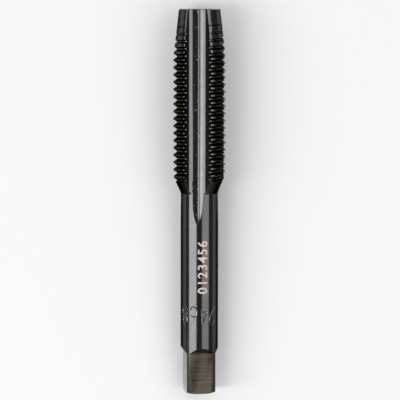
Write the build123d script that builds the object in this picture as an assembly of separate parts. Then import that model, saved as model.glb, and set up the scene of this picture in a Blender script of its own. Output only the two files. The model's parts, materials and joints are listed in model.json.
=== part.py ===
"""Straight-flute hand tap, M12 x 1.5, right hand: one hardened bar of steel.

The tap is turned, fluted, threaded and squared about its own axis, with the tip at
Z = 0 and the driving square at the far end. It is then laid down as it rests on a
bench: along Y, tip towards +Y, one flute facing up, on the lands of its thread and
on the end of its shank, with Z = 0 at the bench and the origin under its middle.
"""
import os
from math import atan2, ceil, cos, degrees, radians, sin, sqrt, tan

from build123d import *

# ------------------------------------------------------------------ driving dimensions
# In mm and degrees. Places along the axis are measured from the tip.
overall_length = 79.7

# thread: M12 x 1.5, ground to full depth all along
thread_diameter = 12.0
thread_pitch = 1.5
thread_depth = 0.92
thread_flank_angle = 60.0
thread_crest_flat = 0.19
groove_lead = -0.06           # place of a groove's middle on the tap's +X side

# lead chamfer: the cone that starts the tap in its hole
tip_diameter = 9.4
lead_length = 9.5

# shoulder: the cone from the thread down to the shank
shoulder_foot = 37.9          # where the cone reaches the shank
shoulder_angle = 30.0         # between the cone and the axis
shoulder_blend = 6.0          # radius that eases the thread's crests into the cone

shank_diameter = 7.8

# driving square, milled on the end of the shank
square_width = 6.0            # across flats
square_length = 8.5           # full depth, up to the end of the tap
square_runout_angle = 37.0
square_turn = 9.3             # from a flute's middle to the nearest flat
end_chamfer_length = 0.3
end_chamfer_depth = 0.68      # taken off the shank's radius

# centre holes in both ends, which held the bar between centres while it was ground
centre_diameter = 3.35
centre_angle = 60.0           # of the whole cone

# flutes: each is ground by a large wheel in two passes, one under the cutting edge and
# one under the heel, which meet in a faint crease along the flute's floor
flute_count = 4
core_diameter = 7.0           # of the steel left between the flutes
cutting_edge_angle = 31.8     # from the flute's middle to its cutting edge
rake_angle = 3.0              # undercut of the cutting face from the radius
hook_corner = 1.8             # radius at the foot of the cutting face
hook_radius = 3.5
hook_offset = 0.86            # of the pass's middle from the flute's, towards the cutting edge
heel_radius = 2.95
heel_offset = 0.42            # of the pass's middle from the flute's, towards the cutting edge
heel_lift = 0.075             # of the heel pass's floor over the other's
wheel_radius = 108.0
flute_straight_length = 34.7  # from the tip to where the wheel begins to lift out

# relief: behind its cutting edge each land is ground to a circle set off from the axis,
# so that it doesn't rub in the thread
relief_depth = 0.16           # lost from the radius at 35 degrees behind the edge
relief_arc = 35.0

cut_margin = 1.0              # how far a cutter stands past the steel that it cuts

# ------------------------------------------------------------------ derived sizes
crest_radius = thread_diameter / 2
root_radius = crest_radius - thread_depth
shank_radius = shank_diameter / 2
core_radius = core_diameter / 2
half_flank = radians(thread_flank_angle / 2)
lead_slope = (crest_radius - tip_diameter / 2) / lead_length
shoulder_top = shoulder_foot - (crest_radius - shank_radius) / tan(radians(shoulder_angle))
square_depth = shank_radius - square_width / 2
square_start = overall_length - square_length
runout_start = square_start - square_depth / tan(radians(square_runout_angle))


def make_blank():
    """Turn the outside: lead chamfer, thread cylinder, shoulder, shank and end chamfer."""
    shoulder = Vector(crest_radius, 0, shoulder_top)
    outline = Polyline(
        (0, 0, 0),
        (tip_diameter / 2, 0, 0),
        (crest_radius, 0, lead_length),
        shoulder,
        (shank_radius, 0, shoulder_foot),
        (shank_radius, 0, overall_length - end_chamfer_length),
        (shank_radius - end_chamfer_depth, 0, overall_length),
        (0, 0, overall_length),
        close=True,
    )
    section = make_face(outline)
    corner = section.vertices().sort_by_distance(shoulder)[0]
    return revolve(fillet(corner, shoulder_blend), Axis.Z)


def relieve_lands(blank):
    """Grind the outside of each land away behind its cutting edge, lead chamfer included."""
    outline = Polyline(
        (0, 0, -cut_margin),
        (tip_diameter / 2 - cut_margin * lead_slope, 0, -cut_margin),
        (crest_radius, 0, lead_length),
        (crest_radius, 0, shoulder_foot + cut_margin),
        (0, 0, shoulder_foot + cut_margin),
        close=True,
    )
    kept = revolve(make_face(outline), Axis.Z)
    around = Cylinder(
        crest_radius + cut_margin,
        shoulder_foot,
        arc_size=360 / flute_count,
        align=(Align.NONE, Align.NONE, Align.MIN),
    )
    edge_direction = 90 + cutting_edge_angle
    offset = relief_depth / sin(radians(relief_arc))
    set_off = Rot(0, 0, edge_direction) * Pos(0, -offset, 0) * kept
    cutter = Rot(0, 0, 90) * around - set_off
    return blank - [Rot(0, 0, n * 360 / flute_count) * cutter for n in range(flute_count)]


def far_end_in_circle(start, direction, centre, radius):
    """Where a straight line from start leaves a circle."""
    offset = start - centre
    along = offset.dot(direction)
    reach = -along + sqrt(along**2 - offset.dot(offset) + radius**2)
    return start + direction * reach


def lower_crossing(centre_a, radius_a, centre_b, radius_b):
    """The lower of the two points where two circles cross."""
    between = centre_b - centre_a
    distance = between.length
    along = (distance**2 + radius_a**2 - radius_b**2) / (2 * distance)
    aside = sqrt(radius_a**2 - along**2)
    unit = between / distance
    crossings = [
        centre_a + unit * along + Vector(-unit.Y, unit.X) * side * aside for side in (-1, 1)
    ]
    return min(crossings, key=lambda point: point.Y)


def make_flute_section():
    """Section of the wheel, in XY: the flute faces +Y, its cutting face is on the -X side."""
    top = crest_radius + cut_margin
    edge_angle = radians(cutting_edge_angle)
    edge = Vector(-sin(edge_angle), cos(edge_angle)) * crest_radius
    lean = radians(cutting_edge_angle - rake_angle)
    down_face = Vector(sin(lean), -cos(lean))
    face_top = edge - down_face * cut_margin / cos(lean)

    hook_centre = Vector(-hook_offset, sqrt((core_radius + hook_radius) ** 2 - hook_offset**2))
    heel_floor = hook_centre.Y - hook_radius + heel_lift
    heel_centre = Vector(-heel_offset, heel_floor + heel_radius)
    face_foot = far_end_in_circle(edge, down_face, hook_centre, hook_radius)
    crease = lower_crossing(hook_centre, hook_radius, heel_centre, heel_radius)
    heel_side = heel_centre + Vector(heel_radius, 0)

    outline = [
        Line(face_top, face_foot),
        RadiusArc(face_foot, crease, -hook_radius),
        RadiusArc(crease, heel_side, -heel_radius),
        Polyline(heel_side, (heel_side.X, top), face_top),
    ]
    section = make_face(outline)
    corner = section.vertices().sort_by_distance(face_foot)[0]
    return fillet(corner, hook_corner)


def make_flute_cutter():
    """The wheel's path along one flute: straight from the tip, then lifting out on its arc."""
    section = make_flute_section()
    straight = extrude(section, flute_straight_length + cut_margin, dir=(0, 0, -1))
    straight = Pos(0, 0, flute_straight_length) * straight
    wheel_axis = Axis((0, core_radius + wheel_radius, flute_straight_length), (-1, 0, 0))
    lift_angle = 2 * degrees(atan2(crest_radius, wheel_radius))
    lift_out = revolve(Pos(0, 0, flute_straight_length) * section, wheel_axis, lift_angle)
    return straight + lift_out


def cut_thread(body):
    """Grind the helical groove, one turn at a time, until it runs out on the shoulder."""
    cut_depth = thread_depth + thread_crest_flat / (4 * tan(half_flank))
    root_flat = thread_pitch - thread_crest_flat - 2 * thread_depth * tan(half_flank)
    mouth = root_flat + 2 * cut_depth * tan(half_flank)
    profile = Polyline(
        (root_radius, 0, -root_flat / 2),
        (root_radius, 0, root_flat / 2),
        (root_radius + cut_depth, 0, mouth / 2),
        (root_radius + cut_depth, 0, -mouth / 2),
        close=True,
    )
    one_turn = Helix(thread_pitch, thread_pitch, root_radius)
    turn = sweep(make_face(profile), path=one_turn, is_frenet=True)
    turn_count = ceil(shoulder_foot / thread_pitch) + 1
    first_turn = groove_lead - thread_pitch
    return body - [Pos(0, 0, first_turn + n * thread_pitch) * turn for n in range(turn_count)]


def cut_square(body):
    """Mill the four flats, each with a sloping run-out at the shank."""
    flat = square_width / 2
    rise = square_depth + cut_margin
    run = rise / tan(radians(square_runout_angle))
    far_end = overall_length + cut_margin
    outline = Polyline(
        (flat, 0, far_end),
        (flat, 0, square_start),
        (flat + rise, 0, square_start - run),
        (flat + rise, 0, far_end),
        close=True,
    )
    mill = extrude(make_face(outline), shank_radius + cut_margin, dir=(0, 1, 0), both=True)
    flute_direction = 90
    for n in range(4):
        body -= Rot(0, 0, flute_direction - square_turn + n * 90) * mill
    return body


def drill_centres(body):
    """Drill a conical centre hole in each end."""
    mouth = centre_diameter / 2
    depth = mouth / tan(radians(centre_angle / 2))
    drill = revolve(make_face(Polyline((0, 0, 0), (mouth, 0, 0), (0, 0, depth), close=True)), Axis.Z)
    return body - drill - Pos(0, 0, overall_length) * Rot(180, 0, 0) * drill


def make_tap():
    """The finished tap, standing on its tip."""
    tap = relieve_lands(make_blank())
    flute_cutter = make_flute_cutter()
    for n in range(flute_count):
        tap -= Rot(0, 0, n * 360 / flute_count) * flute_cutter
    return drill_centres(cut_square(cut_thread(tap)))


def lay_down(tap):
    """Lay the tap on its side, on its lowest thread crest and the end of its plain shank."""
    threaded = [corner for corner in tap.vertices() if corner.Z < shoulder_foot]
    rest_tilt = max(
        atan2(-corner.Y - shank_radius, runout_start - corner.Z) for corner in threaded
    )
    lying = Rot(degrees(rest_tilt), 0, 0) * Rot(90, 0, 0) * tap
    box = lying.bounding_box()
    return Pos(0, -box.center().Y, -box.min.Z) * lying


os.makedirs("parts", exist_ok=True)
thread_tap = lay_down(make_tap())
export_step(thread_tap, "parts/thread_tap.step")
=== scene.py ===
# %% [markdown]
# # A hand tap in blackened steel
#
# A hand tap cuts the thread inside a hole. The real one is a single bar of hardened
# steel: a threaded end with four flutes ground along it, a plain round shank, and a
# square that the tap wrench turns. The solid of that bar comes ready from the CAD
# frame. This lesson gives it its finishes, a row of digits stamped into the shank, a
# row of digits burnt onto it, and a table, lamps and a camera.

# %% Load the frame
import json
import math

import bmesh
import bpy
from mathutils import Matrix, Vector


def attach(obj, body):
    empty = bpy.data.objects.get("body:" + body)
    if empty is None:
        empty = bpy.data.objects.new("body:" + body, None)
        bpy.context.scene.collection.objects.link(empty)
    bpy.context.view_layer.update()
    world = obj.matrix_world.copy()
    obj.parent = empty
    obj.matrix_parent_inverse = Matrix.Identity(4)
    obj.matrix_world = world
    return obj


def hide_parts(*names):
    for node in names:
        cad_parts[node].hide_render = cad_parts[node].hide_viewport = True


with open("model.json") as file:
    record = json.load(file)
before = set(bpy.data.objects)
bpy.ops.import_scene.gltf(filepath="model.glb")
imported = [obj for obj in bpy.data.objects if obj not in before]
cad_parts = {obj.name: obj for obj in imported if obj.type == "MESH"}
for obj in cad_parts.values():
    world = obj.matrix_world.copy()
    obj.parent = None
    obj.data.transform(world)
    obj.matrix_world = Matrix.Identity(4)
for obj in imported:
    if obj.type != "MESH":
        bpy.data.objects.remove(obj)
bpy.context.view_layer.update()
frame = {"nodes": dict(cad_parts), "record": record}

# %% [markdown]
# ## The tap's own axes
#
# The tap lies on the table with its shank end a little lower than its tip, so its
# axis leans by a couple of degrees. A place on it is easier to name along that axis.
# The frame's record gives two points of the axis, the centre holes in the ends.
# Everything is modelled in the tap's own millimetres, with X across, Y towards the tip
# and Z out of the top flute, and then laid down by one matrix.

# %% Axes from the record
MM = 0.001
mounts = {mount["name"]: mount for mount in frame["record"]["mounts"]}
tip = Vector(mounts["tip_centre"]["pos_m"])
drive_end = Vector(mounts["drive_centre"]["pos_m"])
tipward = (tip - drive_end).normalized()
across = Vector((1, 0, 0))
upward = across.cross(tipward)
lean = math.atan2(tipward.z, tipward.y)
lay_down = Matrix.Translation(tip) @ Matrix.Rotation(lean, 4, "X") @ Matrix.Scale(MM, 4)
tap_length = (tip - drive_end).length / MM
print(f"The tap is {tap_length:.1f} mm long and leans {math.degrees(lean):.2f} degrees")

# %% Sizes from the drawing, in millimetres and degrees, places from the tip
CREST_RADIUS, ROOT_RADIUS, SHANK_RADIUS = 6.0, 5.08, 3.9
TIP_RADIUS, LEAD_LENGTH = 4.7, 9.5
SHOULDER_FOOT, SHOULDER_ANGLE = 37.9, 30.0
CUTTING_EDGE_ANGLE, RAKE_ANGLE = 31.8, 3.0
CORE_RADIUS, HOOK_RADIUS, HOOK_OFFSET, HOOK_CORNER = 3.5, 3.5, 0.86, 1.8
HEEL_RADIUS, HEEL_OFFSET, HEEL_LIFT = 2.95, 0.42, 0.075
WHEEL_RADIUS, FLUTE_STRAIGHT_LENGTH = 108.0, 34.7
RELIEF_DEPTH, RELIEF_ARC = 0.16, 35.0
RELIEF_OFFSET = RELIEF_DEPTH / math.sin(math.radians(RELIEF_ARC))
PITCH, HALF_FLANK = 1.5, math.radians(30)
HAND = 1.0                   # 1 for a right-hand thread
ROOT_PHASE = 0.21            # turns of the thread's groove past the top of the tap
SQUARE_RUNOUT = 70.0         # where the flats begin to slope down from the shank
SQUARE_TURN = 9.3            # from the top flute's middle to the nearest flat
QUARTER_TURN = math.pi / 2   # between neighbouring flutes, and between neighbouring flats

# %% [markdown]
# ## Helpers for materials
#
# Each finish is a node tree around one Principled shader. A few helpers make a node,
# link it and name the sockets, so that a tree reads like a list of steps.


# %% Node helpers
def add_node(tree, kind, links=None, **settings):
    """A new node, its settings, and its inputs: a value, or a socket to link from."""
    node = tree.nodes.new(kind)
    for name, value in settings.items():
        setattr(node, name, value)
    for key, value in (links or {}).items():
        socket = node.inputs[key]
        if isinstance(value, bpy.types.NodeSocket):
            tree.links.new(value, socket)
        else:
            socket.default_value = value
    return node


def calculate(tree, operation, *values, clamp=False):
    links = dict(enumerate(values))
    return add_node(tree, "ShaderNodeMath", links, operation=operation, use_clamp=clamp).outputs[0]


def span(tree, value, from_low, from_high, to_low=0.0, to_high=1.0):
    """The value carried from one range to another, and kept inside it."""
    links = {0: value, 1: from_low, 2: from_high, 3: to_low, 4: to_high}
    return add_node(tree, "ShaderNodeMapRange", links).outputs[0]


def blend_colours(tree, mask, first, second):
    links = {"Factor": mask, "A": first, "B": second}
    node = tree.nodes.new("ShaderNodeMix")
    node.data_type = "RGBA"
    for key, value in links.items():
        socket = [s for s in node.inputs if s.name == key and s.enabled][0]
        if isinstance(value, bpy.types.NodeSocket):
            tree.links.new(value, socket)
        else:
            socket.default_value = value
    return [s for s in node.outputs if s.enabled][0]


def scale_colour(tree, colour, factor):
    links = {0: colour, "Scale": factor}
    return add_node(tree, "ShaderNodeVectorMath", links, operation="SCALE").outputs[0]


def new_group(name, inputs, outputs):
    """An empty node group with named sockets: each is (name, kind, default)."""
    group = bpy.data.node_groups.new(name, "ShaderNodeTree")
    for socket_name, kind, default in inputs:
        socket = group.interface.new_socket(socket_name, in_out="INPUT", socket_type=kind)
        if default is not None:
            socket.default_value = default
    for socket_name, kind in outputs:
        group.interface.new_socket(socket_name, in_out="OUTPUT", socket_type=kind)
    return group, group.nodes.new("NodeGroupInput"), group.nodes.new("NodeGroupOutput")


def use_group(tree, group, links=None):
    node = tree.nodes.new("ShaderNodeGroup")
    node.node_tree = group
    for key, value in (links or {}).items():
        if isinstance(value, bpy.types.NodeSocket):
            tree.links.new(value, node.inputs[key])
        else:
            node.inputs[key].default_value = value
    return node


# %% [markdown]
# ## Places on the tap, for the patterns
#
# Grinding and milling marks follow the tap's own axis, and the axis leans. So this
# group turns object coordinates into the tap's millimetres once, and every finish
# reads from it: the place itself, the distance from the tip, the angle from the middle
# of the nearest flute, how far across that flute a point lies, and how far it is from
# the thread's groove. The four flutes are alike, so the angle round the tap is folded
# into a quarter turn first.

# %% Group: where a point is on the tap
NUMBER, PLACE = "NodeSocketFloat", "NodeSocketVector"
tap_place, _, group_out = new_group(
    "place_on_tap", [],
    [("Place", PLACE), ("Along", NUMBER), ("Turn", NUMBER), ("Flute", NUMBER), ("Thread", NUMBER)],
)
coordinates = add_node(tap_place, "ShaderNodeTexCoord")
laid = add_node(
    tap_place,
    "ShaderNodeMapping",
    {"Vector": coordinates.outputs["Object"], "Location": tip, "Rotation": (lean, 0, 0),
     "Scale": (MM, MM, MM)},
    vector_type="TEXTURE",
)
parts = add_node(tap_place, "ShaderNodeSeparateXYZ", {0: laid.outputs[0]})
along = calculate(tap_place, "MULTIPLY", parts.outputs["Y"], -1.0)
squares = calculate(
    tap_place, "ADD",
    calculate(tap_place, "POWER", parts.outputs["X"], 2.0),
    calculate(tap_place, "POWER", parts.outputs["Z"], 2.0),
)
radius = calculate(tap_place, "SQRT", squares)
turn = calculate(tap_place, "ARCTAN2", parts.outputs["X"], parts.outputs["Z"])
quarters = calculate(tap_place, "ROUND", calculate(tap_place, "DIVIDE", turn, QUARTER_TURN))
folded = calculate(
    tap_place, "SUBTRACT", turn, calculate(tap_place, "MULTIPLY", quarters, QUARTER_TURN))
across_flute = calculate(tap_place, "MULTIPLY", radius, calculate(tap_place, "SINE", folded))
winding = calculate(
    tap_place, "ADD", calculate(tap_place, "DIVIDE", along, PITCH),
    calculate(tap_place, "MULTIPLY", turn, HAND / (2 * math.pi)))
off_root = calculate(
    tap_place, "PINGPONG", calculate(tap_place, "SUBTRACT", winding, ROOT_PHASE), 0.5)
for name, value in (("Place", laid.outputs[0]), ("Along", along), ("Turn", folded),
                    ("Flute", across_flute), ("Thread", off_root)):
    tap_place.links.new(value, group_out.inputs[name])
print("Group place_on_tap ready")

# %% [markdown]
# ## Grinding marks
#
# A grinding wheel leaves fine scratches in the direction it moved, and the coat over
# them is a little uneven. Both are noise: one stretched along the scratches, one even.
# The group gives the scratches as a height for a bump, and the unevenness as a mask.

# %% Group: grinding marks
grinding, group_in, group_out = new_group(
    "grinding_marks",
    [("Place", PLACE, None), ("Across", PLACE, (8.0, 0.6, 8.0)), ("Cloud", NUMBER, 0.12),
     ("Grit", NUMBER, 14.0)],
    [("Scratch", NUMBER), ("Cloud", NUMBER), ("Grit", NUMBER)],
)
stretched = add_node(
    grinding, "ShaderNodeVectorMath",
    {0: group_in.outputs["Place"], 1: group_in.outputs["Across"]}, operation="MULTIPLY",
)
scratch = add_node(
    grinding, "ShaderNodeTexNoise", {"Vector": stretched.outputs[0], "Scale": 1.0, "Detail": 4.0,
                                     "Roughness": 0.65})
cloud = add_node(
    grinding, "ShaderNodeTexNoise", {"Vector": group_in.outputs["Place"],
                                     "Scale": group_in.outputs["Cloud"], "Detail": 3.0})
grit = add_node(
    grinding, "ShaderNodeTexNoise", {"Vector": group_in.outputs["Place"],
                                     "Scale": group_in.outputs["Grit"], "Detail": 2.0})
grinding.links.new(scratch.outputs[0], group_out.inputs["Scratch"])
grinding.links.new(span(grinding, cloud.outputs[0], 0.35, 0.65), group_out.inputs["Cloud"])
grinding.links.new(grit.outputs[0], group_out.inputs["Grit"])
print("Group grinding_marks ready")


# %% [markdown]
# ## Finishes
#
# The whole bar is dipped in hot salts, which turns the steel nearly black, with a
# blue or brown cast here and there. Where it was ground first it stays glossy, in the
# threads it is duller and browner, and the square was milled afterwards, so it is the
# greyest. Each finish is a metal with a dark colour: it stays black until something
# bright is reflected in it.

# %% Helper: one finish of the bar
def steel_finish(name, colours, roughness, edge_tint, scratches, cloud, grit, bump,
                 grit_tone=(0.9, 1.1), scratch_tone=(1.0, 1.0), details=None):
    """Dark metal. colours are the two ends of its uneven cast; roughness is a range."""
    material = bpy.data.materials.new(name)
    material.use_nodes = True
    tree = material.node_tree
    shader = tree.nodes["Principled BSDF"]
    place = use_group(tree, tap_place)
    marks = use_group(tree, grinding, {"Place": place.outputs["Place"], "Across": scratches,
                                       "Cloud": cloud, "Grit": grit})
    cast = blend_colours(tree, marks.outputs["Cloud"], (*colours[0], 1), (*colours[1], 1))
    tone = span(tree, marks.outputs["Grit"], 0.3, 0.7, *grit_tone)
    tone = calculate(
        tree, "MULTIPLY", tone, span(tree, marks.outputs["Scratch"], 0.35, 0.65, *scratch_tone))
    toned = scale_colour(tree, cast, tone)
    dullness = span(tree, marks.outputs["Scratch"], 0.3, 0.7, *roughness)
    if details:
        toned, dullness = details(tree, place, toned, dullness)
    tree.links.new(toned, shader.inputs["Base Color"])
    tree.links.new(dullness, shader.inputs["Roughness"])
    height = calculate(tree, "ADD", marks.outputs["Scratch"], marks.outputs["Grit"])
    relief = add_node(
        tree, "ShaderNodeBump", {"Strength": 1.0, "Distance": bump * MM, "Height": height})
    tree.links.new(relief.outputs[0], shader.inputs["Normal"])
    shader.inputs["Metallic"].default_value = 1.0
    shader.inputs["Specular Tint"].default_value = (*edge_tint, 1)
    material.diffuse_color = (*colours[0], 1)
    return material


# %% [markdown]
# Some of the cuts leave more than an even pattern. The flute is ground in two passes,
# which meet in a crease near its middle, drawn as a thin dark line of painted shade.
# The floor beside that line is painted darker, most of all near the tip, as painted
# shade. The side by the cutting edge is painted lighter, a painted highlight, and the
# side by the heel is painted darker, a painted shade. The flute also has a few bright
# specks. The lands lose their brown coat along the flutes, where the last grinding
# bared the edge of each tooth. The cone behind the thread and the slopes that lead
# down to the square are painted darker, as painted shade. Each flat of the square is
# darker along one edge. On the lead a dark line of painted shade stands where the
# shallow groove would be, which the mesh doesn't cut. On the shank the laser's heat
# turned the coat slightly brown beside the burnt digits.

# %% Details of single finishes
PASS_LINE = 0.05             # how far the line between the passes is off the flute's middle
LINE_HALF_WIDTH = 0.08
SPECK_COLOUR = (0.259, 0.247, 0.235, 1)
BURNT_MIDDLE = (0.8, 52.9)   # across the shank, and from the tip
WARM_COLOUR = (0.078, 0.066, 0.064, 1)
BARED_COLOUR = (0.111, 0.108, 0.100, 1)
PAINTED_GROOVE_SHADE = (0.016, 0.014, 0.012, 1)


def flute_details(tree, place, colour, dullness):
    off_line = calculate(
        tree, "ABSOLUTE", calculate(tree, "ADD", place.outputs["Flute"], PASS_LINE))
    # Painted shade: a thin dark line along the crease where the two passes meet.
    line = span(tree, off_line, LINE_HALF_WIDTH, 0.14, 0.45, 1.0)
    colour = scale_colour(tree, colour, line)
    # Painted shade beside the crease, darkest near the tip.
    seam_brightness = span(tree, place.outputs["Along"], 15.0, 38.0, 0.55, 0.95)
    beside = span(tree, off_line, 0.3, 0.42, 1.0, 0.0)
    painted_seam_shade = calculate(tree, "SUBTRACT", 1.0, calculate(
        tree, "MULTIPLY", beside, calculate(tree, "SUBTRACT", 1.0, seam_brightness)))
    colour = scale_colour(tree, colour, painted_seam_shade)
    # Painted highlight: the flute is made lighter on the side by the cutting edge.
    colour = scale_colour(tree, colour, span(tree, place.outputs["Flute"], -1.25, -1.0, 1.22, 1.0))
    squashed = add_node(
        tree, "ShaderNodeVectorMath", {0: place.outputs["Place"], 1: (1.0, 0.45, 1.0)},
        operation="MULTIPLY")
    spots = add_node(tree, "ShaderNodeTexNoise", {"Vector": squashed.outputs[0], "Scale": 3.4,
                                                  "Detail": 1.0})
    # Painted shade: the flute is made darker on the side by the heel.
    far = span(tree, place.outputs["Flute"], 0.55, 0.85, 1.0, 0.66)
    colour = scale_colour(tree, colour, far)
    off_middle = calculate(
        tree, "ABSOLUTE", calculate(tree, "ADD", place.outputs["Flute"], 0.8))
    speck = calculate(
        tree, "MULTIPLY", span(tree, spots.outputs[0], 0.68, 0.73),
        span(tree, off_middle, 0.6, 0.9, 1.0, 0.2))
    colour = blend_colours(tree, speck, colour, SPECK_COLOUR)
    return colour, calculate(tree, "ADD", dullness, calculate(tree, "MULTIPLY", speck, 0.35))


def square_details(tree, place, colour, dullness):
    off_flat = calculate(tree, "SUBTRACT", place.outputs["Turn"], math.radians(SQUARE_TURN))
    off_flat = calculate(
        tree, "SUBTRACT", off_flat,
        calculate(tree, "MULTIPLY", calculate(
            tree, "ROUND", calculate(tree, "DIVIDE", off_flat, QUARTER_TURN)), QUARTER_TURN))
    patches = add_node(tree, "ShaderNodeTexNoise", {"Vector": place.outputs["Place"],
                                                    "Scale": 1.6, "Detail": 2.0})
    edge = calculate(tree, "ADD", off_flat, span(tree, patches.outputs[0], 0.3, 0.7, -0.08, 0.08))
    # Each flat is made darker along one edge.
    coated = span(tree, edge, math.radians(-34), math.radians(-27), 0.78, 1.0)
    return scale_colour(tree, colour, coated), dullness


def shank_details(tree, place, colour, dullness):
    parts = add_node(tree, "ShaderNodeSeparateXYZ", {0: place.outputs["Place"]})
    sideways = calculate(
        tree, "ABSOLUTE", calculate(tree, "SUBTRACT", parts.outputs["X"], BURNT_MIDDLE[0]))
    lengthways = calculate(
        tree, "ABSOLUTE", calculate(tree, "SUBTRACT", place.outputs["Along"], BURNT_MIDDLE[1]))
    warm = calculate(
        tree, "MULTIPLY", span(tree, sideways, 1.0, 1.7, 1.0, 0.0),
        span(tree, lengthways, 5.0, 7.5, 1.0, 0.0))
    warm = calculate(tree, "MULTIPLY", warm, span(tree, parts.outputs["Z"], 1.0, 2.0))
    return blend_colours(tree, warm, colour, WARM_COLOUR), dullness


def land_details(tree, place, colour, dullness):
    cutting = span(tree, place.outputs["Turn"], math.radians(-36), math.radians(-32.5))
    heel = span(tree, place.outputs["Turn"], math.radians(36), math.radians(27))
    bared = calculate(tree, "MAXIMUM", 0.0, calculate(tree, "MULTIPLY", cutting, heel))
    colour = blend_colours(tree, bared, colour, BARED_COLOUR)
    # Painted shade: the shoulder cone behind the thread and the slopes down to the square are made
    # darker.
    shoulder_shade = span(tree, place.outputs["Along"], 34.4, 35.2, 1.0, 0.45)
    slope_shade = span(tree, place.outputs["Along"], 60.0, 61.0, 1.0, 0.4)
    return scale_colour(tree, scale_colour(tree, colour, shoulder_shade), slope_shade), dullness


def lead_details(tree, place, colour, dullness):
    # Painted shade where the shallow groove would be on the lead; the mesh has no such groove.
    groove = span(tree, place.outputs["Thread"], 0.09, 0.14, 1.0, 0.0)
    deep = span(tree, place.outputs["Along"], 1.6, 2.6)
    colour = blend_colours(
        tree, calculate(tree, "MULTIPLY", groove, deep), colour, PAINTED_GROOVE_SHADE)
    return colour, dullness


# %% The finishes
finishes = {
    "shank": steel_finish(
        "blackened_shank", [(0.064, 0.065, 0.067), (0.067, 0.065, 0.064)],
        roughness=(0.125, 0.165), edge_tint=(0.2, 0.2, 0.2), scratches=(9.0, 0.9, 9.0),
        cloud=0.11, grit=3.4, bump=0.0001, grit_tone=(0.82, 1.14), details=shank_details),
    "flute": steel_finish(
        "ground_flute", [(0.080, 0.081, 0.080), (0.073, 0.074, 0.073)],
        roughness=(0.05, 0.09), edge_tint=(0.4, 0.4, 0.4), scratches=(9.0, 0.12, 9.0),
        cloud=0.3, grit=4.0, bump=0.0003, grit_tone=(0.95, 1.05), scratch_tone=(0.85, 1.12),
        details=flute_details),
    "land": steel_finish(
        "threaded_land", [(0.052, 0.041, 0.029), (0.036, 0.038, 0.029)],
        roughness=(0.14, 0.26), edge_tint=(0.15, 0.15, 0.15), scratches=(3.0, 3.0, 3.0),
        cloud=0.12, grit=5.0, bump=0.0008, grit_tone=(0.55, 1.25), details=land_details),
    "lead": steel_finish(
        "ground_lead", [(0.068, 0.071, 0.078), (0.073, 0.072, 0.071)],
        roughness=(0.12, 0.2), edge_tint=(0.2, 0.2, 0.2), scratches=(1.0, 8.0, 1.0),
        cloud=0.2, grit=4.0, bump=0.0003, grit_tone=(0.85, 1.1), details=lead_details),
    "square": steel_finish(
        "milled_square", [(0.108, 0.090, 0.070), (0.096, 0.083, 0.067)],
        roughness=(0.28, 0.42), edge_tint=(1.0, 1.0, 1.0), scratches=(0.12, 2.6, 0.12),
        cloud=0.5, grit=4.0, bump=0.004, grit_tone=(0.92, 1.08), scratch_tone=(0.72, 1.28),
        details=square_details),
    # A lighter copy of the milled finish for the flats that face sideways: painted reflection,
    # lighter than the top and bottom flats of the same steel.
    "side_flat_painted_light": steel_finish(
        "milled_flat_painted_reflection", [(0.37, 0.362, 0.347), (0.32, 0.312, 0.302)],
        roughness=(0.10, 0.18), edge_tint=(1.0, 1.0, 1.0), scratches=(2.6, 2.6, 0.12),
        cloud=0.5, grit=4.0, bump=0.002, grit_tone=(0.92, 1.08), scratch_tone=(0.8, 1.2)),
    "corner": steel_finish(
        "rubbed_corner", [(0.058, 0.056, 0.053), (0.050, 0.048, 0.046)],
        roughness=(0.4, 0.5), edge_tint=(0.4, 0.4, 0.4), scratches=(6.0, 0.4, 6.0),
        cloud=0.5, grit=4.0, bump=0.001, grit_tone=(0.9, 1.1), scratch_tone=(0.6, 1.4)),
    "stamp": steel_finish(
        "stamped_groove", [(0.16, 0.16, 0.155), (0.12, 0.12, 0.116)],
        roughness=(0.12, 0.3), edge_tint=(0.5, 0.5, 0.5), scratches=(3.0, 3.0, 3.0),
        cloud=0.2, grit=3.6, bump=0.004, grit_tone=(0.25, 1.9)),
}
finish_order = list(finishes)
print("Finishes:", ", ".join(finish_order))

# %% [markdown]
# ## The bar's mesh
#
# The frame's mesh is loose triangles, one island for each CAD face. A merged copy
# closes it into one skin. The original stays as it is, for the physics.

# %% Copy and merge the solid
MERGE_DISTANCE = 0.0005      # millimetres


def add_piece(name, mesh):
    piece = bpy.data.objects.new(name, mesh)
    bpy.context.scene.collection.objects.link(piece)
    return piece


def merged_copy(node_name, piece_name):
    """The node's triangles in the tap's millimetres, with their shared corners joined."""
    mesh = bpy.data.meshes.new(piece_name)
    work = bmesh.new()
    work.from_mesh(frame["nodes"][node_name].data)
    bmesh.ops.transform(work, matrix=lay_down.inverted(), verts=work.verts)
    bmesh.ops.remove_doubles(work, verts=work.verts, dist=MERGE_DISTANCE)
    open_edges = sum(1 for edge in work.edges if len(edge.link_faces) != 2)
    work.to_mesh(mesh)
    work.free()
    print(f"{piece_name}: {len(mesh.polygons)} faces, {open_edges} open edges")
    return add_piece(piece_name, mesh)


body = merged_copy("thread_tap", "tap_body")

# %% [markdown]
# ## Stamped digits
#
# Each digit was struck into the soft bar with a steel punch, so it is a thin rounded
# groove that follows the round of the shank. The groove is cut by a tool of the same
# shape: the digit's strokes as lines, wrapped round the shank, with a thin tube along
# them. Geometry Nodes do the wrapping, because every line follows the same rule.

# %% Strokes of the digits, in a box 1 wide and 1 high
def arc(centre, radii, start, end, steps=10):
    angles = [math.radians(start + (end - start) * n / steps) for n in range(steps + 1)]
    return [
        (centre[0] + radii[0] * math.cos(a), centre[1] + radii[1] * math.sin(a)) for a in angles
    ]


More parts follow.
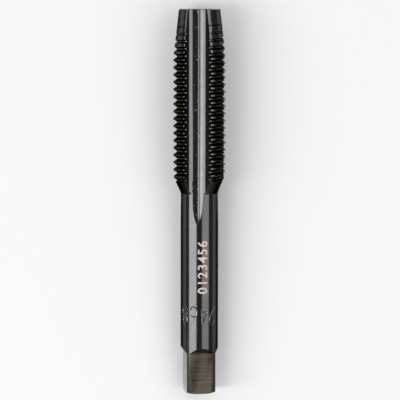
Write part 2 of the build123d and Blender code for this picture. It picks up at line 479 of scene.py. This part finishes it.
DIGIT_STROKES = {
    "2": [arc((0.5, 0.72), (0.5, 0.28), 165, -40) + [(0.0, 0.0), (1.0, 0.0)]],
    "4": [[(0.72, 0.0), (0.72, 1.0), (0.0, 0.28), (0.62, 0.28)], [(0.82, 0.28), (1.0, 0.28)]],
    "6": [[(0.85, 1.0), (0.3, 0.7)] + arc((0.5, 0.28), (0.48, 0.28), 150, 480, 16)],
    "8": [
        arc((0.5, 0.75), (0.4, 0.25), -60, 240, 14),
        arc((0.5, 0.25), (0.5, 0.25), 72, -252, 16),
    ],
}


def stroke_curve(text, glyph_width, glyph_height, advance):
    """The text as flat lines: X along the text, Y up the digits."""
    curve = bpy.data.curves.new("stamp_strokes", "CURVE")
    curve.dimensions = "3D"
    for place, digit in enumerate(text):
        for stroke in DIGIT_STROKES[digit]:
            spline = curve.splines.new("POLY")
            spline.points.add(len(stroke) - 1)
            for point, (x, y) in zip(spline.points, stroke):
                point.co = (place * advance + x * glyph_width, y * glyph_height, 0, 1)
    return curve


# %% Geometry Nodes helpers
def new_geometry_tree(name, inputs):
    tree = bpy.data.node_groups.new(name, "GeometryNodeTree")
    tree.interface.new_socket("Geometry", in_out="INPUT", socket_type="NodeSocketGeometry")
    for socket_name, kind, default in inputs:
        socket = tree.interface.new_socket(socket_name, in_out="INPUT", socket_type=kind)
        if default is not None:
            socket.default_value = default
    tree.interface.new_socket("Geometry", in_out="OUTPUT", socket_type="NodeSocketGeometry")
    return tree, tree.nodes.new("NodeGroupInput"), tree.nodes.new("NodeGroupOutput")


def run_geometry_tree(piece, tree, values):
    """Runs the tree on the piece with the named inputs, and gives the plain mesh it makes."""
    modifier = piece.modifiers.new(tree.name, "NODES")
    modifier.node_group = tree
    for item in tree.interface.items_tree:
        if item.in_out == "INPUT" and item.name in values:
            modifier[item.identifier] = values[item.name]
    bpy.context.view_layer.update()
    evaluated = piece.evaluated_get(bpy.context.evaluated_depsgraph_get())
    mesh = bpy.data.meshes.new_from_object(evaluated)
    piece.modifiers.remove(modifier)
    return mesh


def wrap_on_shank(tree, geometry, group_in):
    """Lays a flat text on the shank. Start is where its X = Y = 0 goes, and Heading turns it."""
    position = add_node(tree, "GeometryNodeInputPosition")
    turned = add_node(
        tree, "ShaderNodeVectorRotate",
        {"Vector": position.outputs[0], "Angle": group_in.outputs["Heading"]},
        rotation_type="Z_AXIS")
    moved = add_node(
        tree, "ShaderNodeVectorMath",
        {0: turned.outputs[0], 1: group_in.outputs["Start"]}, operation="ADD")
    flat = add_node(tree, "ShaderNodeSeparateXYZ", {0: moved.outputs[0]})
    reach = calculate(tree, "ADD", group_in.outputs["Radius"], flat.outputs["Z"])
    angle = calculate(tree, "DIVIDE", flat.outputs["X"], group_in.outputs["Radius"])
    wrapped = add_node(
        tree, "ShaderNodeCombineXYZ",
        {"X": calculate(tree, "MULTIPLY", reach, calculate(tree, "SINE", angle)),
         "Y": flat.outputs["Y"],
         "Z": calculate(tree, "MULTIPLY", reach, calculate(tree, "COSINE", angle))})
    return add_node(
        tree, "GeometryNodeSetPosition", {"Geometry": geometry, "Position": wrapped.outputs[0]}
    ).outputs[0]


def finish_tree(tree, geometry, group_in, group_out):
    solid = add_node(tree, "GeometryNodeRealizeInstances", {0: geometry})
    coated = add_node(
        tree, "GeometryNodeSetMaterial",
        {"Geometry": solid.outputs[0], "Material": group_in.outputs["Material"]})
    tree.links.new(coated.outputs[0], group_out.inputs[0])


WRAP_INPUTS = [
    ("Radius", NUMBER, SHANK_RADIUS), ("Start", PLACE, None), ("Heading", NUMBER, 0.0),
    ("Material", "NodeSocketMaterial", None),
]

# %% Cut the stamped digits
STAMP_TEXT = "2468"
STAMP_START = (3.75, -61.2, 0.0)    # the foot of the first digit
STROKE_RADIUS = 0.13
STROKE_STEP = 0.2                   # between two rings of a stroke's tube

stamp_tree, tree_in, tree_out = new_geometry_tree(
    "stamp_strokes", WRAP_INPUTS + [("Stroke radius", NUMBER, 0.1)])
even = add_node(
    stamp_tree, "GeometryNodeResampleCurve",
    {"Curve": tree_in.outputs["Geometry"], "Length": STROKE_STEP}, mode="LENGTH")
wrapped = wrap_on_shank(stamp_tree, even.outputs[0], tree_in)
worn = add_node(stamp_tree, "ShaderNodeTexNoise", {"Scale": 2.2, "Detail": 0.0})
swelling = add_node(
    stamp_tree, "GeometryNodeSetCurveRadius",
    {"Curve": wrapped, "Radius": span(stamp_tree, worn.outputs[0], 0.3, 0.7, 0.75, 1.2)})
ring = add_node(
    stamp_tree, "GeometryNodeCurvePrimitiveCircle",
    {"Resolution": 8, "Radius": tree_in.outputs["Stroke radius"]})
tube = add_node(
    stamp_tree, "GeometryNodeCurveToMesh",
    {"Curve": swelling.outputs[0], "Profile Curve": ring.outputs[0], "Fill Caps": True})
finish_tree(stamp_tree, tube.outputs[0], tree_in, tree_out)

flat_strokes = stroke_curve(STAMP_TEXT, glyph_width=1.45, glyph_height=3.9, advance=2.13)
strokes = add_piece("stamp_strokes", flat_strokes)
punch_mesh = run_geometry_tree(strokes, stamp_tree, {
    "Start": STAMP_START, "Heading": math.pi, "Radius": SHANK_RADIUS,
    "Stroke radius": STROKE_RADIUS, "Material": finishes["stamp"],
})
bpy.data.objects.remove(strokes)
punch = add_piece("stamp_punch", punch_mesh)


def cut_away(piece, cutter):
    modifier = piece.modifiers.new("cut", "BOOLEAN")
    modifier.operation, modifier.solver, modifier.object = "DIFFERENCE", "EXACT", cutter
    modifier.use_self = True
    bpy.context.view_layer.update()
    evaluated = piece.evaluated_get(bpy.context.evaluated_depsgraph_get())
    mesh = bpy.data.meshes.new_from_object(evaluated)
    piece.modifiers.remove(modifier)
    piece.data = mesh
    bpy.data.objects.remove(cutter)


cut_away(body, punch)
print(f"With its stamp the bar has {len(body.data.polygons)} faces")

# %% [markdown]
# ## Light on the round faces
#
# The bar shines, so its reflections show every flat triangle. The true direction of
# each surface is known from the drawing, though: the shank faces straight out, the
# flute's floor faces the middle of its grinding arc, and a thread's flank leans 60
# degrees from that. So each corner gets the true direction as its normal, and each
# face gets the finish of the cut that made it.

# %% The flute's section: where its arcs have their centres
def unit(x, y):
    length = math.hypot(x, y)
    return x / length, y / length


hook_centre = (-HOOK_OFFSET, math.sqrt((CORE_RADIUS + HOOK_RADIUS) ** 2 - HOOK_OFFSET**2))
floor_height = hook_centre[1] - HOOK_RADIUS
heel_centre = (-HEEL_OFFSET, floor_height + HEEL_LIFT + HEEL_RADIUS)
edge_angle = math.radians(CUTTING_EDGE_ANGLE)
face_lean = math.radians(CUTTING_EDGE_ANGLE - RAKE_ANGLE)
cutting_edge = (-CREST_RADIUS * math.sin(edge_angle), CREST_RADIUS * math.cos(edge_angle))
face_normal = (math.cos(face_lean), math.sin(face_lean))
reach = HOOK_RADIUS - HOOK_CORNER
to_hook = sum((h - e) * n for h, e, n in zip(hook_centre, cutting_edge, face_normal))
corner_turn = math.asin((to_hook - HOOK_CORNER) / reach) - face_lean
corner_centre = (
    hook_centre[0] - reach * math.sin(corner_turn),
    hook_centre[1] - reach * math.cos(corner_turn),
)
flute_arcs = [
    (hook_centre, HOOK_RADIUS), (heel_centre, HEEL_RADIUS), (corner_centre, HOOK_CORNER),
]
print("Flute arcs at", [round(c, 3) for c in hook_centre + heel_centre + corner_centre])


def section_surfaces(u, v):
    """Distance from each part of the flute's section, and that part's normal."""
    found = []
    for centre, radius in flute_arcs:
        away = (centre[0] - u, centre[1] - v)
        found.append((abs(math.hypot(*away) - radius), unit(*away)))
    off_face = (u - cutting_edge[0]) * face_normal[0] + (v - cutting_edge[1]) * face_normal[1]
    found.append((abs(off_face), face_normal))
    return found


# %% Every surface of the bar, as distance and normal
def round_surface(point, centre, radius, tilt=0.0):
    """A cylinder or cone about a line along Y. tilt turns its normal towards the tip."""
    x, z = point.x - centre[0], point.z - centre[1]
    size = max(math.hypot(x, z), 1e-6)
    normal = Vector((x / size * math.cos(tilt), math.sin(tilt), z / size * math.cos(tilt)))
    return abs(size - radius), normal


def surfaces_at(point, flute, land):
    """The bar's surfaces near a point: name, distance and normal."""
    along = -point.y
    phi = flute * QUARTER_TURN
    u = point.x * math.cos(phi) + point.z * math.sin(phi)
    v = -point.x * math.sin(phi) + point.z * math.cos(phi)
    rise = max(along - FLUTE_STRAIGHT_LENGTH, 0.0)
    wheel_centre = CORE_RADIUS + WHEEL_RADIUS
    beta = math.atan2(rise, wheel_centre - v)
    v = wheel_centre - math.hypot(rise, wheel_centre - v) if rise else v
    found = []
    for number, (distance, (nu, nv)) in enumerate(section_surfaces(u, v)):
        out = nv * math.cos(beta)
        normal = Vector((
            nu * math.cos(phi) - out * math.sin(phi), nv * math.sin(beta),
            nu * math.sin(phi) + out * math.cos(phi),
        ))
        found.append((f"flute {number}", distance, normal))
    found.append(("shank", *round_surface(point, (0, 0), SHANK_RADIUS)))
    found.append(("root", *round_surface(point, (0, 0), ROOT_RADIUS)))
    shift = edge_angle + QUARTER_TURN + land * QUARTER_TURN
    middle = (RELIEF_OFFSET * math.sin(shift), -RELIEF_OFFSET * math.cos(shift))
    found.append(("crest", *round_surface(point, middle, CREST_RADIUS)))
    slope = (CREST_RADIUS - TIP_RADIUS) / LEAD_LENGTH
    lead_radius = TIP_RADIUS + slope * along
    found.append(("lead", *round_surface(point, middle, lead_radius, math.atan(slope))))
    drop = math.radians(SHOULDER_ANGLE)
    cone = SHANK_RADIUS + (SHOULDER_FOOT - along) * math.tan(drop)
    found.append(("shoulder", *round_surface(point, (0, 0), cone, -drop)))
    return found


# %% The helical flanks
def flank_normal(point, side):
    """side is 1 for a flank that faces the tip and -1 for one that faces the shank."""
    radial = Vector((point.x, 0, point.z)).normalized()
    climb = PITCH / (2 * math.pi * math.hypot(point.x, point.z))
    along_helix = radial.cross(Vector((0, 1, 0)))
    axial = (Vector((0, 1, 0)) + along_helix * climb).normalized()
    return radial * math.sin(HALF_FLANK) + axial * side * math.cos(HALF_FLANK)


# %% Match each face to its surface
LEAST_FIT = 0.94             # cosine between a face and its surface
MOST_MISS = 0.022            # from a corner of a face to its surface
THREAD_END = 38
FLUTE_END, BAR_RADIUS = 46, 6.1
FLANK_RADIUS = 4.5           # flanks are farther from the axis than this
FLANK_SLOPE = (0.6, 0.95)    # how far a flank faces along the axis
SURFACE_SPANS = {            # from where to where each round surface is looked for
    "shank": (37, math.inf), "root": (-math.inf, 37), "crest": (-math.inf, 34.5),
    "lead": (-math.inf, 9.8), "shoulder": (32, 38.2),
}


def may_lie_on(name, along, radius):
    """Whether a surface is there at all, at this place along the tap."""
    if name in SURFACE_SPANS:
        return SURFACE_SPANS[name][0] < along < SURFACE_SPANS[name][1]
    return along < FLUTE_END and radius < BAR_RADIUS


def match_face(corners, centre, normal):
    """The surface that a face lies on, and the normals of its corners, or None."""
    along, radius = -centre.y, math.hypot(centre.x, centre.z)
    turn = math.degrees(math.atan2(centre.z, centre.x))
    flute = round((turn - 90) / 90) % 4
    land = math.floor((turn - 90) / 90) % 4
    options = [surfaces_at(corner, flute, land) for corner in corners]
    best, best_fit = None, LEAST_FIT
    for number in range(len(options[0])):
        name = options[0][number][0]
        miss = max(option[number][1] for option in options)
        if miss > MOST_MISS or not may_lie_on(name, along, radius):
            continue
        fit = sum((option[number][2] for option in options), Vector()).normalized().dot(normal)
        if fit > best_fit:
            best, best_fit = (name, [option[number][2] for option in options]), fit
    sloped = FLANK_SLOPE[0] < abs(normal.y) < FLANK_SLOPE[1]
    if best is None and along < THREAD_END and FLANK_RADIUS < radius < BAR_RADIUS and sloped:
        best = ("flank", [flank_normal(corner, math.copysign(1, normal.y)) for corner in corners])
    return best


FINISH_OF = {
    "shank": "shank", "root": "land", "crest": "land", "lead": "lead", "shoulder": "land",
    "flank": "land",
}
EDGE_ROUNDING = 0.2          # share of the next face's direction at the edge of a crest or root
SHARP_ANGLE = math.radians(22)
STAMP_SPAN = (60, 67)        # from where to where a flat face belongs to a stamped groove


def flat_finish(normal, along):
    """The finish of a face that lies on no round surface."""
    if along < THREAD_END:
        return "land"
    if STAMP_SPAN[0] < along < STAMP_SPAN[1]:
        return "stamp"
    # Flats that face sideways get the lighter copy, a painted reflection.
    if abs(normal.x) > 0.9:
        return "side_flat_painted_light"
    slopes = normal.y < -0.3
    return "land" if slopes and along < SQUARE_RUNOUT + 1.5 else "square"


def finish_and_smooth(piece):
    """Gives each face its finish, and each corner the true normal of its surface."""
    mesh = piece.data
    work = bmesh.new()
    work.from_mesh(mesh)
    bmesh.ops.triangulate(work, faces=work.faces)
    work.to_mesh(mesh)
    work.free()
    mesh.materials.clear()
    for name in finish_order:
        mesh.materials.append(finishes[name])
    mesh.shade_smooth()
    mesh.set_sharp_from_angle(angle=SHARP_ANGLE)
    normals = [corner.vector.copy() for corner in mesh.corner_normals]
    matches, flank_side, flute_side = [], {}, {}
    for face in mesh.polygons:
        corners = [mesh.vertices[index].co for index in face.vertices]
        match = match_face(corners, face.center, face.normal)
        matches.append(match)
        if match and match[0].startswith(("flank", "flute")):
            side = flank_side if match[0] == "flank" else flute_side
            for index, normal in zip(face.vertices, match[1]):
                side.setdefault(index, Vector()).xyz += normal
    counts = {}
    for face, match in zip(mesh.polygons, matches):
        along = -face.center.y
        name = match[0] if match else "flat"
        true_normals = match[1] if match else ()
        for loop, index, normal in zip(face.loop_indices, face.vertices, true_normals):
            if name in ("crest", "root") and index in flank_side:
                normal = normal.lerp(flank_side[index].normalized(), EDGE_ROUNDING)
            if name in ("crest", "root", "lead") and index in flute_side:
                normal = normal.lerp(flute_side[index].normalized(), EDGE_ROUNDING / 2)
            normals[loop] = normal
        if name == "flat":
            finish = flat_finish(face.normal, along)
        elif name == "shank" and along > SQUARE_RUNOUT + 0.5:
            finish = "corner"
        else:
            finish = FINISH_OF.get(name, "flute")
        counts[name] = counts.get(name, 0) + 1
        face.material_index = finish_order.index(finish)
    mesh.normals_split_custom_set([normal.normalized() for normal in normals])
    print("Faces by surface:", counts)


finish_and_smooth(body)
body.data.transform(lay_down)
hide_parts("thread_tap")
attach(body, "root")

# %% [markdown]
# ## Burnt-in digits
#
# A laser burns the coat off the shank and leaves a pale, slightly uneven mark with no
# depth. A row of plain digits is made as text, thickened a little, cut finely so that
# it can bend, and wrapped on the shank by the same rule as the stamp. It stands off
# the steel by the thickness of a coat of paint.

# %% Finish of the burnt digits
def burnt_finish():
    material = bpy.data.materials.new("laser_burnt_steel")
    material.use_nodes = True
    tree = material.node_tree
    shader = tree.nodes["Principled BSDF"]
    place = use_group(tree, tap_place)
    marks = use_group(tree, grinding, {"Place": place.outputs["Place"], "Across": (4.0, 4.0, 4.0),
                                       "Cloud": 1.1, "Grit": 6.0})
    straw, bare = (0.62, 0.57, 0.48, 1), (0.71, 0.69, 0.64, 1)
    cast = blend_colours(tree, marks.outputs["Cloud"], straw, bare)
    tone = span(tree, marks.outputs["Grit"], 0.3, 0.7, 0.75, 1.15)
    tree.links.new(scale_colour(tree, cast, tone), shader.inputs["Base Color"])
    dullness = span(tree, marks.outputs["Scratch"], 0.3, 0.7, 0.5, 0.7)
    tree.links.new(dullness, shader.inputs["Roughness"])
    shader.inputs["Metallic"].default_value = 0.0
    material.diffuse_color = (0.7, 0.66, 0.58, 1)
    return material


# %% Wrap the burnt digits
BURNT_TEXT = "0123456"
BURNT_LENGTH = 11.05
BURNT_START = (1.64, -58.55, 0.0)   # the foot of the first digit
BURNT_LIFT = 0.012                  # the middle of the skin over the steel

burnt_tree, tree_in, tree_out = new_geometry_tree("burnt_digits", WRAP_INPUTS)
fine = add_node(
    burnt_tree, "GeometryNodeSubdivideMesh", {"Mesh": tree_in.outputs["Geometry"], "Level": 2})
finish_tree(burnt_tree, wrap_on_shank(burnt_tree, fine.outputs[0], tree_in), tree_in, tree_out)


def flat_digits(text, size, weight, spacing, thickness):
    """The text as a closed flat skin, and its length. weight thickens the strokes."""
    font = bpy.data.curves.new("burnt_digits", "FONT")
    font.body, font.size, font.offset, font.space_character = text, size, weight, spacing
    font.extrude = thickness / 2
    font.resolution_u = 4
    holder = add_piece("burnt_text", font)
    bpy.context.view_layer.update()
    evaluated = holder.evaluated_get(bpy.context.evaluated_depsgraph_get())
    mesh = bpy.data.meshes.new_from_object(evaluated)
    bpy.data.objects.remove(holder)
    work = bmesh.new()
    work.from_mesh(mesh)
    bmesh.ops.remove_doubles(work, verts=work.verts, dist=MERGE_DISTANCE)
    bmesh.ops.triangulate(work, faces=work.faces)
    bmesh.ops.recalc_face_normals(work, faces=work.faces)
    work.to_mesh(mesh)
    work.free()
    xs, ys = [v.co.x for v in mesh.vertices], [v.co.y for v in mesh.vertices]
    print(f"Flat digits: {min(xs):.2f} to {max(xs):.2f} long, {min(ys):.2f} to {max(ys):.2f} high")
    return mesh, max(xs)


digits_mesh, digits_length = flat_digits(
    BURNT_TEXT, size=2.8, weight=0.035, spacing=1.16, thickness=0.02)
digits = add_piece("burnt_digits", digits_mesh)
stretch = BURNT_LENGTH / digits_length
for vertex in digits_mesh.vertices:
    vertex.co.x *= stretch
digits.data = run_geometry_tree(digits, burnt_tree, {
    "Start": BURNT_START, "Heading": QUARTER_TURN, "Radius": SHANK_RADIUS + BURNT_LIFT,
    "Material": burnt_finish(),
})
digits.data.transform(lay_down)
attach(digits, "root")
print(f"Burnt digits: {len(digits.data.polygons)} faces")

# %% [markdown]
# ## Table
#
# The tap lies on a plain pale table, dull enough to show nothing but a soft shadow.

# %% Table
TABLE_SIZE = 4.0             # metres
TABLE_TONE = 0.90


def make_table():
    bpy.ops.mesh.primitive_plane_add(size=TABLE_SIZE, location=(0, 0, 0))
    table = bpy.context.object
    table.name = "table"
    material = bpy.data.materials.new("pale_table")
    material.use_nodes = True
    tree = material.node_tree
    shader = tree.nodes["Principled BSDF"]
    shader.inputs["Base Color"].default_value = (TABLE_TONE, TABLE_TONE, TABLE_TONE, 1)
    shader.inputs["Roughness"].default_value = 0.9
    shader.inputs["Specular IOR Level"].default_value = 0.0
    table.data.materials.append(material)


make_table()

# %% [markdown]
# ## Lamps
#
# A round bar shows each lamp as a long stripe. Two large soft boxes stand left and
# right of the camera, and the angles at which their sides begin and end set where the
# stripes begin and end on the shank. Two smaller ones beyond the tip light the lead's
# cone. Two wide lamps off the ends of the tap draw its edges for a viewer who walks
# round it, and fill the shadow. Between the lamps the room is an even grey.

# %% Lamps
LAMP_REACH = 1500            # from the tap, in millimetres
ROOM_TONE = 0.21


def softbox(name, toward, lengthwise, inner, outer, start, end, radiance):
    """A soft box on the side that toward points to. It fills the angles inner to outer
    from straight up, and start to end in millimetres along lengthwise."""
    inner, outer = math.radians(inner), math.radians(outer)
    middle = (inner + outer) / 2
    width, length = 2 * LAMP_REACH * math.tan((outer - inner) / 2), end - start
    lamp = bpy.data.lights.new(name, "AREA")
    lamp.shape, lamp.size, lamp.size_y = "RECTANGLE", width * MM, length * MM
    lamp.energy = radiance * math.pi * width * length * MM * MM
    holder = add_piece(name, lamp)
    out = toward * math.sin(middle) + upward * math.cos(middle)
    place = tip + lengthwise * ((start + end) / 2 * MM) + out * LAMP_REACH * MM
    turn = Matrix((lengthwise.cross(out), lengthwise, out)).transposed()
    holder.matrix_world = Matrix.Translation(place) @ turn.to_4x4()
    holder.visible_camera = False
    print(f"{name}: {width:.0f} x {length:.0f} mm, radiance {radiance}")


softbox("left_softbox", -across, -tipward, 18, 65.5, 0, 410, 6.2)
softbox("right_softbox", across, -tipward, 16.5, 59.5, 0, 410, 2.75)
softbox("right_tip_softbox", across, -tipward, 16.5, 50, -430, -220, 3.6)
softbox("left_tip_softbox", -across, -tipward, 50, 69, -430, -220, 3.4)
softbox("lamp_beyond_tip", tipward, across, 33, 77, -1200, 1200, 1.0)
softbox("lamp_beyond_square", -tipward, across, 33, 77, -1200, 1200, 1.0)

world = bpy.data.worlds.new("room")
bpy.context.scene.world = world
world.use_nodes = True
background = world.node_tree.nodes["Background"]
background.inputs["Color"].default_value = (ROOM_TONE, ROOM_TONE, ROOM_TONE, 1)

# %% [markdown]
# ## Camera
#
# The camera looks down on the tap from beyond its tip, from nearly half a metre away,
# through a long lens, so the tap hardly narrows with distance.

# %% Camera
FRAME_WIDTH = 400            # pixels
FOCAL_PIXELS = 2130.0
CAMERA_HEIGHT = 439.0        # over the tap's axis
CAMERA_BEYOND_TIP = 9.59
VIEW_ANGLE = 6.369           # from square to the axis, in degrees
TAP_OFFSET = 0.56            # pixels by which the tap's axis is left of the frame's middle
ROLL = 0.08                  # degrees

camera_data = bpy.data.cameras.new("camera")
camera_data.sensor_width = 36.0
camera_data.lens = FOCAL_PIXELS / FRAME_WIDTH * camera_data.sensor_width
camera_data.clip_start = 0.01
camera = add_piece("camera", camera_data)
angle = math.radians(VIEW_ANGLE)
look = (-upward * math.cos(angle) - tipward * math.sin(angle)).normalized()
frame_up = (tipward * math.cos(angle) - upward * math.sin(angle)).normalized()
frame_right = look.cross(frame_up)
place = tip + (tipward * CAMERA_BEYOND_TIP + upward * CAMERA_HEIGHT) * MM
place += frame_right * TAP_OFFSET * CAMERA_HEIGHT / FOCAL_PIXELS * MM
turn = Matrix((frame_right, frame_up, -look)).transposed().to_4x4()
roll = Matrix.Rotation(math.radians(ROLL), 4, "Z")
camera.matrix_world = Matrix.Translation(place) @ turn @ roll
bpy.context.scene.camera = camera
bpy.context.scene.view_settings.view_transform = "Standard"
